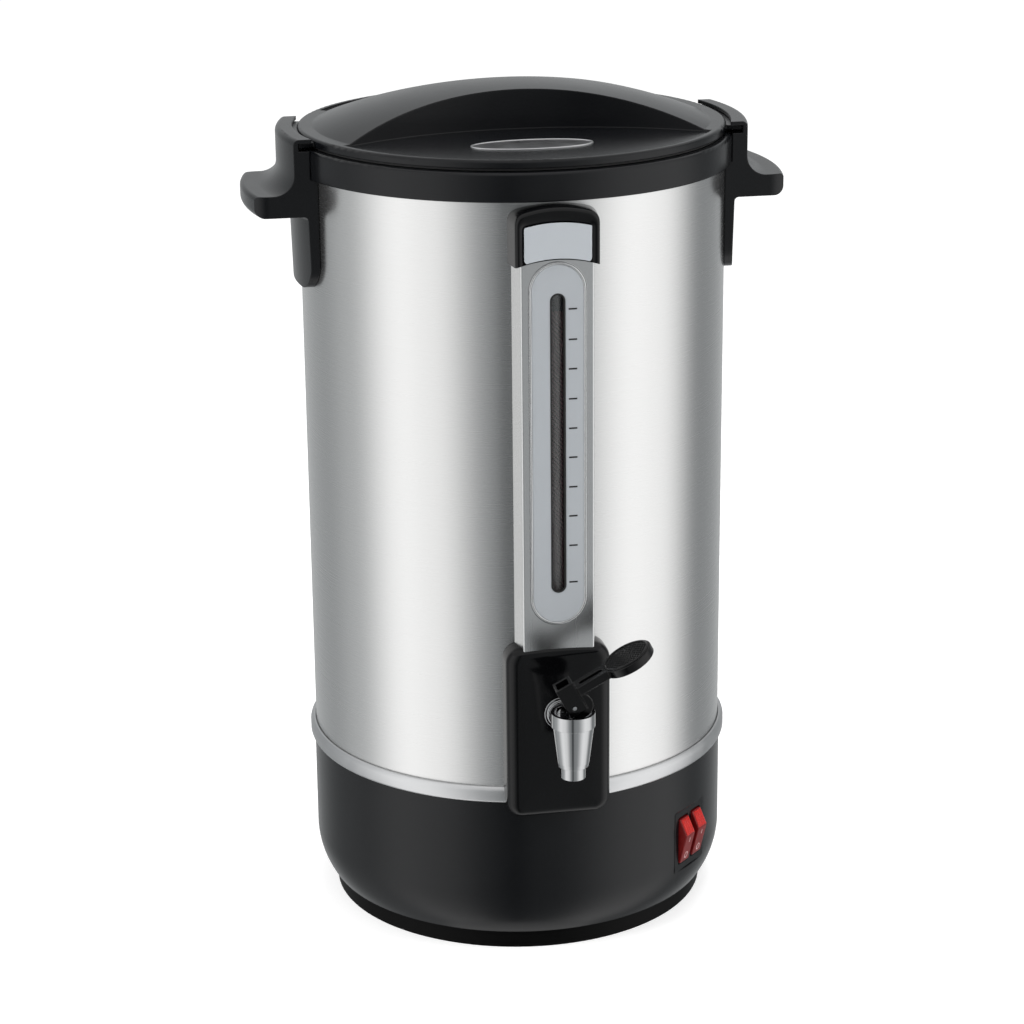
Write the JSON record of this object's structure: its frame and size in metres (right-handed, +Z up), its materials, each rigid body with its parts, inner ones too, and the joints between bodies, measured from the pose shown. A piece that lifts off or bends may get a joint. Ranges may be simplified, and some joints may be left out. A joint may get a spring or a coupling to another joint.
{
  "type": "hot water urn",
  "caption": "Double-walled steel hot water urn with black base, twist-lock domed lid, side handles, sight gauge, lever tap on a shield and rocker switches.",
  "frame": {"origin": "on the body's axis, at the floor face of the foot ring", "axes": "+Z up, -Y towards the tap, +X to the right of a person facing the tap"},
  "size_m": [0.382, 0.3827, 0.5995],
  "materials": {
    "black_plastic": "fine satin grain",
    "gloss_black": "polished",
    "foot_rubber": "matte",
    "satin_trim": "satin",
    "jacket_steel": "brushed round the body",
    "channel_steel": "brushed lengthwise",
    "tank_steel": "plain drawn sheet",
    "panel_grey": "satin lacquer",
    "label_grey": "satin lacquer",
    "black_rubber": "matte",
    "stripe_red": "printed stripes",
    "tube_glass": "clear",
    "brass": "machined",
    "silicone": "matte",
    "tap_chrome": "bright plate",
    "hardware_steel": "zinc plated",
    "heater_sheath": "oxidised sheath",
    "plate_aluminium": "as rolled",
    "ceramic": "matte",
    "rocker_red": "tinted, lightly translucent"
  },
  "bodies": {
    "urn": {"foot_ring": "foot_rubber", "bottom_pan": "tank_steel", "bottom_screws": "hardware_steel", "base_housing": "black_plastic", "trim_band": "satin_trim", "outer_body": "jacket_steel", "inner_tank": "tank_steel", "collar": "black_plastic", "handle_left": "black_plastic", "handle_right": "black_plastic", "handle_screws": "hardware_steel", "heat_plate": "plate_aluminium", "heating_element": "heater_sheath", "keep_warm_element": "heater_sheath", "thermostat": "ceramic", "thermal_cutout": "ceramic", "tie_rods": "hardware_steel", "tie_nuts": "hardware_steel", "terminal_block": "ceramic", "gauge_channel": "channel_steel", "gauge_panel": "panel_grey", "slot_trim": "black_rubber", "gauge_backing": "stripe_red", "sight_tube": "tube_glass", "gauge_elbow": "brass", "gauge_seals": "silicone", "gauge_nut": "brass", "gauge_cap": "gloss_black", "cap_plate": "label_grey", "tap_shield": "gloss_black", "tap_flange": "tap_chrome", "tap_body": "tap_chrome", "tap_spacer": "silicone", "tap_seal": "silicone", "tap_nut": "brass", "tap_bonnet": "tap_chrome", "tap_spring": "hardware_steel", "switch_plate": "black_plastic", "switch_bodies": "black_plastic", "inlet_socket": "black_plastic", "inlet_pins": "brass", "inlet_screws": "hardware_steel"},
    "lid": {"lid_shell": "black_plastic", "lid_pan": "tank_steel", "lid_gasket": "black_rubber", "lid_screws": "hardware_steel"},
    "tap_swivel": {"cam_washer": "black_plastic"},
    "stem": {"tap_stem": "hardware_steel", "tap_plug": "silicone"},
    "lever": {"tap_lever": "black_plastic", "lever_pin": "hardware_steel"},
    "rocker_left": {"rocker_left": "rocker_red"},
    "rocker_right": {"rocker_right": "rocker_red"}
  },
  "joints": [
    {"name": "lid_turn", "type": "hinge", "parent": "urn", "child": "lid", "pos_m": [0, 0, 0.567], "axis": [0, 0, 1], "range_deg": [0, 42]},
    {"name": "lever_swivel", "type": "hinge", "parent": "urn", "child": "tap_swivel", "pos_m": [0, -0.21, 0.2057], "axis": [0, 0, 1], "range_deg": [-200, 20]},
    {"name": "stem_lift", "type": "slide", "parent": "tap_swivel", "child": "stem", "axis": [0, 0, 1], "range_m": [0, 0.0022], "deforming": ["tap_spring"]},
    {"name": "lever_tilt", "type": "hinge", "parent": "stem", "child": "lever", "pos_m": [0, -0.21, 0.2143], "axis": [0, 1, 0], "range_deg": [0, 30], "stiffness_Nm_per_rad": 0.5, "springref_deg": -8.59},
    {"name": "rocker_left_tip", "type": "hinge", "parent": "urn", "child": "rocker_left", "pos_m": [0.0997, -0.10823, 0.062], "axis": [0.6947, 0.7193, 0], "range_deg": [-16, 0]},
    {"name": "rocker_right_tip", "type": "hinge", "parent": "urn", "child": "rocker_right", "pos_m": [0.11164, -0.09586, 0.062], "axis": [0.6947, 0.7193, 0], "range_deg": [-16, 0]}
  ],
  "couplings": [
    {"joint": "lever_tilt", "follows": "stem_lift", "rad_per_m": 237.99}
  ]
}
